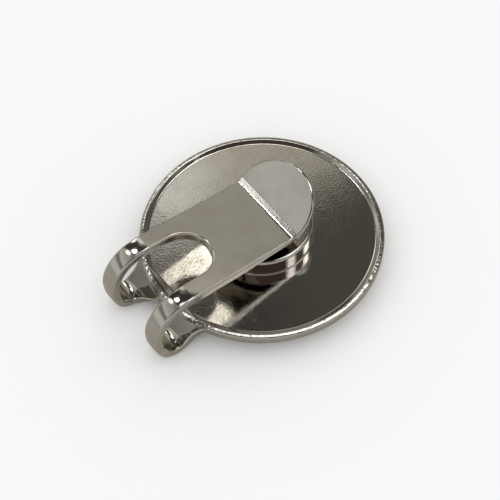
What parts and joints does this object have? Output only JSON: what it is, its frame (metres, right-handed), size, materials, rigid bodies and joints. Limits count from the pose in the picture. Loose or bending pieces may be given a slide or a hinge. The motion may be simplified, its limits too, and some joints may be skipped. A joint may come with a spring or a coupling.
{
  "type": "golf ball marker cap clip",
  "caption": "Round plated cap clip with a folded two-legged spring leaf, and a round ball marker held on its front by a magnet.",
  "frame": {"origin": "on the disc's axis at the marker's face, which the clip lies on", "axes": "+X from the bend along the spring leaf to its tip, +Z from the marker's face through the disc to the leaf"},
  "size_m": [0.0346, 0.03, 0.0102],
  "materials": {
    "plated_steel": "bright nickel plate",
    "cup_steel": "bright nickel plate",
    "magnet": "plated magnet",
    "coin_metal": "bright nickel plate",
    "enamel": "polished hard enamel"
  },
  "bodies": {
    "clip": {"clip_base": "plated_steel", "magnet_cup": "cup_steel", "magnet": "magnet"},
    "leaf": {"spring_leaf": "plated_steel"},
    "marker": {"marker_coin": "coin_metal", "marker_enamel": "enamel"}
  },
  "joints": [
    {"name": "leaf_flex", "type": "hinge", "parent": "clip", "child": "leaf", "pos_m": [-0.019, 0, 0.0036], "axis": [0, -1, 0], "range_deg": [0, 8], "stiffness_Nm_per_rad": 0.6},
    {"name": "marker_pull", "type": "slide", "parent": "clip", "child": "marker", "axis": [0, 0, -1], "range_m": [0, 0.012]}
  ]
}
